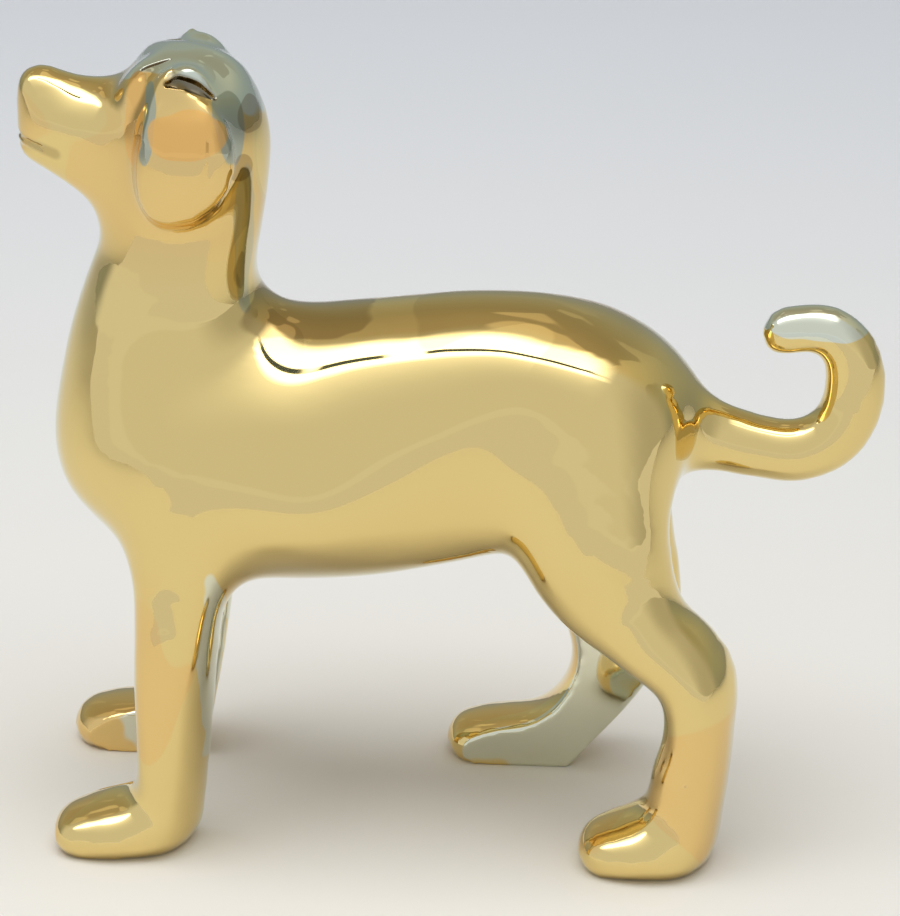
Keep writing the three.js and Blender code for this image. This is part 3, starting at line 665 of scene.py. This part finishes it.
width = add(tree, "Math", {0: y}, operation="ABSOLUTE")
both_sides = add(tree, "CombineXYZ", {"X": x, "Y": width, "Z": z})
torn = add(tree, "TexNoise", {"Vector": place, "Scale": 1 / SMUDGE_SIZE, "Detail": 1}).outputs["Color"]
torn = add(tree, "VectorMath", {0: torn, 1: NOISE_MIDDLE}, operation="SUBTRACT")
torn = add(tree, "VectorMath", {0: torn, "Scale": TORN}, operation="SCALE")
start, end = PATCH_EDGE
for name, centre, reach, tone, share in PATCHES:
    away = add(tree, "VectorMath", {0: both_sides, 1: [part * MM for part in centre]}, operation="SUBTRACT")
    away = add(tree, "VectorMath", {0: away, 1: [part * MM for part in reach]}, operation="DIVIDE")
    away = add(tree, "VectorMath", {0: away, 1: torn}, operation="ADD")
    away = add(tree, "VectorMath", {0: away}, operation="LENGTH")
    inside = add(tree, "MapRange", {"Value": away, "From Min": start, "From Max": end, "To Max": share},
                 **SOFT)
    colour = add(tree, "Mix", {"Factor": inside, "A": colour, "B": linear(tone)},
                 data_type="RGBA", label=name)

# Painted reflection: the colour pales where the surface turns away from the eye, except on the back.
turned = add(tree, "LayerWeight").outputs["Facing"]
grazing_sheen = add(tree, "MapRange", {"Value": turned, "From Min": SHEEN_FROM, "To Max": SHEEN_SHARE}, **SOFT)
elsewhere = add(tree, "Math", {0: 1.0, 1: back}, operation="SUBTRACT")
grazing_sheen = add(tree, "Math", {0: grazing_sheen, 1: elsewhere}, operation="MULTIPLY")
colour = add(tree, "Mix", {"Factor": grazing_sheen, "A": colour, "B": linear(MIST)}, data_type="RGBA")
# Painted shade: the colour darkens toward brown in the cuts.
shade_in_cuts = add(tree, "Attribute", attribute_name="cut_shade").outputs["Fac"]
colour = add(tree, "Mix", {"Factor": shade_in_cuts, "A": colour, "B": linear(CUT_SHADE)}, data_type="RGBA")
print(len(PATCHES), "patches of other tones")

# %% [markdown]
# The metal takes that colour. A handled mirror has smudges about as wide as a fingertip, where its
# roughness rises from that of polish to a faint haze. Every piece then gets the lustre, rides on the
# only body and hides the solids that it stands for.

# %% Finish the pieces
POLISH = 0.025
HAZE = 0.06
HANDLED = (0.45, 0.75)

start, end = HANDLED
smudge = add(tree, "TexNoise", {"Vector": place, "Scale": 1 / SMUDGE_SIZE, "Detail": 3})
haze = add(tree, "MapRange", {"Value": smudge, "From Min": start, "From Max": end,
                              "To Min": POLISH, "To Max": HAZE})
metal = add(tree, "BsdfPrincipled", {"Base Color": colour, "Roughness": haze, "Metallic": 1})
add(tree, "OutputMaterial", {"Surface": metal})

for name, piece in pieces.items():
    piece.data.materials.clear()
    piece.data.materials.append(lustre)
    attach(piece, "root")
    if name == "head":
        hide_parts("head", "left_ear", "right_ear")
    else:
        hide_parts(name)
print(len(pieces), "pieces in", lustre.name)

# %% [markdown]
# ## The table
# The dog stands on a white table that runs on far behind it. Its colour is painted light: warmer
# near the lamp, and lighter and cooler far away, where it makes up for the lamp's falloff. What the
# gold mirrors isn't the bare paper alone: the table ends about a quarter of a metre before the dog,
# and beyond that edge the mirror sees the pale room, with a lighter skirting at its end. That edge
# is the second long line along the flank. Beyond it, mirrored rays see the table glow in the
# room's tone, a painted reflection of the room.

# %% The table
NEAR_PAPER = "F0EDE6"
FAR_PAPER = "F2F4F8"
PAPER_FADE = (-0.05, 0.6)
PAPER_ROUGHNESS = 0.7
ROOM_TONE = "E1E3E9"
SKIRTING_TONE = "E6E9EE"
TABLE_SIZE = 6
TABLE_EDGE = (-0.27, -0.282)
SKIRTING = (-1.5, -1.6)

bpy.ops.mesh.primitive_plane_add(size=TABLE_SIZE, location=(0, 0, 0))
table = bpy.context.object
table.name = "table"
paper = bpy.data.materials.new("white paper sweep")
paper.use_nodes = True
tree = paper.node_tree
tree.nodes.clear()
place = add(tree, "TexCoord").outputs["Object"]
depth = add(tree, "SeparateXYZ", {"Vector": place}).outputs["Y"]

# Painted light: the paper is warmer near the lamp, and lighter and cooler far away.
start, end = PAPER_FADE
far = add(tree, "MapRange", {"Value": depth, "From Min": start, "From Max": end}, **SOFT)
tone = add(tree, "Mix", {"Factor": far, "A": linear(NEAR_PAPER), "B": linear(FAR_PAPER)}, data_type="RGBA")
matte = add(tree, "BsdfPrincipled", {"Base Color": tone, "Roughness": PAPER_ROUGHNESS})

start, end = SKIRTING
end_wall = add(tree, "MapRange", {"Value": depth, "From Min": start, "From Max": end}, **SOFT)
tone = add(tree, "Mix", {"Factor": end_wall, "A": linear(ROOM_TONE), "B": linear(SKIRTING_TONE)},
           data_type="RGBA")
# Painted reflection: beyond its edge, mirrored rays see the table glow in the room's tone.
room = add(tree, "Emission", {"Color": tone, "Strength": 1.0})
mirrored = add(tree, "LightPath").outputs["Is Glossy Ray"]
start, end = TABLE_EDGE
beyond = add(tree, "MapRange", {"Value": depth, "From Min": start, "From Max": end, "To Max": mirrored},
             **SOFT)
both = add(tree, "MixShader", {0: beyond, 1: matte, 2: room})
add(tree, "OutputMaterial", {"Surface": both})
table.data.materials.append(paper)
print("the mirrored table ends", -TABLE_EDGE[0], "m before the dog")

# %% [markdown]
# ## The studio
# A mirror shows the room, so the room has to be there. All of it is written in the world, by the
# direction in which a mirrored ray looks: east to the tail, north to the far side, and its rise.
# In front of the dog is a pale wall above its skirting, and to the right a grey curtain. Behind it
# is a dim room, grey at eye level and warmer and lighter overhead, with darker shapes standing in
# it. Each of these is laid over what came before it.

# %% The room
FRONT_WALL = "E1E3E5"
CURTAIN = "BCBCBA"
BEHIND = ((0.0, "959B9B"), (0.2, "A0A69E"), (0.45, "B5B5A4"), (0.7, "CBC5AD"), (0.85, "DFD1B6"),
          (0.95, "ECDDC2"), (1.0, "F1EADA"))
BEHIND_SHADE = "6C6550"
SHAPE_SCALE = 2.2
SHAPE_EDGE = (0.47, 0.50)
SHAPE_RISE = (0.2, 0.8)
SHAPE_SHARE = 0.5

world = bpy.data.worlds.new("studio")
bpy.context.scene.world = world
world.use_nodes = True
tree = world.node_tree
tree.nodes.clear()
looking = add(tree, "TexCoord").outputs["Generated"]
east, north, rise = add(tree, "SeparateXYZ", {"Vector": looking}).outputs

ladder = add(tree, "ValToRGB", {"Fac": rise})
steps = ladder.color_ramp.elements
while len(steps) < len(BEHIND):
    steps.new(0.5)
for step, (position, tone) in zip(steps, BEHIND):
    step.position = position
    step.color = linear(tone)
shapes = add(tree, "TexNoise", {"Vector": looking, "Scale": SHAPE_SCALE, "Detail": 1})
shade = SHAPE_SHARE
for value, (start, end) in ((rise, SHAPE_RISE), (shapes, SHAPE_EDGE)):
    shade = add(tree, "MapRange", {"Value": value, "From Min": start, "From Max": end, "To Max": shade},
                **SOFT)
behind = add(tree, "Mix", {"Factor": shade, "A": ladder, "B": linear(BEHIND_SHADE)}, data_type="RGBA")

ROOM = (
    (rise, (0.03, 0.015), linear(SKIRTING_TONE)),
    (east, (0.45, 0.95), linear(CURTAIN)),
    (north, (-0.08, 0.25), behind),
)
sight = linear(FRONT_WALL)
for value, (start, end), tone in ROOM:
    share = add(tree, "MapRange", {"Value": value, "From Min": start, "From Max": end}, **SOFT)
    sight = add(tree, "Mix", {"Factor": share, "A": sight, "B": tone}, data_type="RGBA")
print(len(ROOM) + 1, "things in the room")

# %% [markdown]
# A large softbox hangs overhead. Seen from the dog it is a window in a flat ceiling, so it is laid
# out by how far a ray gets across and ahead while it rises by one. Its light spills over the edge of
# the cloth toward the camera and dies away there, and a thin stand crosses it, which gives the dark
# crescents on the shoulder and the rump. The window has a left, a right and a slanted far side and
# doesn't reach down to the horizon. The stand has two long edges and one end.

# %% The softbox and its stand
LOWEST_RISE = 0.02
SLANT = 0.27
SOFTBOX = 2.4
CLOTH_EDGE = -0.36
CLOTH_BLUR = (-0.06, 0.02)
SPILL = 0.72
SPILL_LENGTH = 0.25
GLOW = "FFFFFF"
STAND = "59656F"

over = add(tree, "Math", {0: rise, 1: LOWEST_RISE}, operation="MAXIMUM")
across = add(tree, "Math", {0: east, 1: over}, operation="DIVIDE")
ahead = add(tree, "Math", {0: north, 1: over}, operation="DIVIDE")
slanted = add(tree, "Math", {0: across, 1: -SLANT, 2: ahead}, operation="MULTIPLY_ADD")
WINDOW = ((across, -1.3, -0.9), (across, 0.70, 0.20), (slanted, 0.20, 0.02), (rise, 0.05, 0.3))
window = 1
for value, start, end in WINDOW:
    window = add(tree, "MapRange", {"Value": value, "From Min": start, "From Max": end, "To Max": window},
                 **SOFT)
BAR = ((ahead, -0.28, -0.27), (ahead, -0.215, -0.225), (across, -0.245, -0.232))
bar = window
for value, start, end in BAR:
    bar = add(tree, "MapRange", {"Value": value, "From Min": start, "From Max": end, "To Max": bar}, **SOFT)

start, end = (CLOTH_EDGE + blur for blur in CLOTH_BLUR)
cloth = add(tree, "MapRange", {"Value": ahead, "From Min": start, "From Max": end, "To Max": SOFTBOX},
            **SOFT)
fall = add(tree, "Math", {0: ahead, 1: CLOTH_EDGE}, operation="SUBTRACT")
fall = add(tree, "Math", {0: fall, 1: SPILL_LENGTH}, operation="DIVIDE")
fall = add(tree, "Math", {0: fall, 1: 0}, operation="MINIMUM")
spill = add(tree, "Math", {0: fall}, operation="EXPONENT")
light = add(tree, "Math", {0: spill, 1: SPILL, 2: cloth}, operation="MULTIPLY_ADD")
light = add(tree, "Math", {0: light, 1: window}, operation="MULTIPLY")
print("softbox of strength", SOFTBOX, "in the mirror")

# %% [markdown]
# The world joins these for mirrored rays. Rays that are not mirrored see plain pale light, so that
# the table and its shadow don't take on the tones of the room.

# %% Join the studio
FILL_LIGHT = "E4E7EA"
FILL_STRENGTH = 0.52

walls = add(tree, "Background", {"Color": sight})
glow = add(tree, "Background", {"Color": linear(GLOW), "Strength": light})
lit = add(tree, "AddShader", {0: walls, 1: glow})
stand = add(tree, "Background", {"Color": linear(STAND)})
seen = add(tree, "MixShader", {0: bar, 1: lit, 2: stand})
plain = add(tree, "Background", {"Color": linear(FILL_LIGHT), "Strength": FILL_STRENGTH})
mirrored = add(tree, "LightPath").outputs["Is Glossy Ray"]
either = add(tree, "MixShader", {0: mirrored, 1: plain, 2: seen})
add(tree, "OutputWorld", {"Surface": either})
print("world of", len(tree.nodes), "nodes")

# %% [markdown]
# The lamp itself is an area lamp in the softbox's place. It lights the table and casts the soft
# shadow under the belly. Mirrored rays don't see it, because the softbox in the world stands for it.

# %% The overhead lamp
LAMP_PLACE = (-0.1, -0.15, 0.9)
LAMP_SIZE = (1.2, 0.7)
LAMP_POWER = 6.6

bpy.ops.object.light_add(type="AREA", location=LAMP_PLACE)
softbox = bpy.context.object
softbox.name = "softbox"
softbox.data.shape = "RECTANGLE"
softbox.data.size, softbox.data.size_y = LAMP_SIZE
softbox.data.energy = LAMP_POWER
softbox.visible_glossy = False
bpy.context.scene.view_settings.view_transform = "Standard"
print("lamp of", LAMP_POWER, "W")

# %% Print the model's box and finish
print("model box", [round(v / MM, 2) for v in cad_low], [round(v / MM, 2) for v in cad_high])
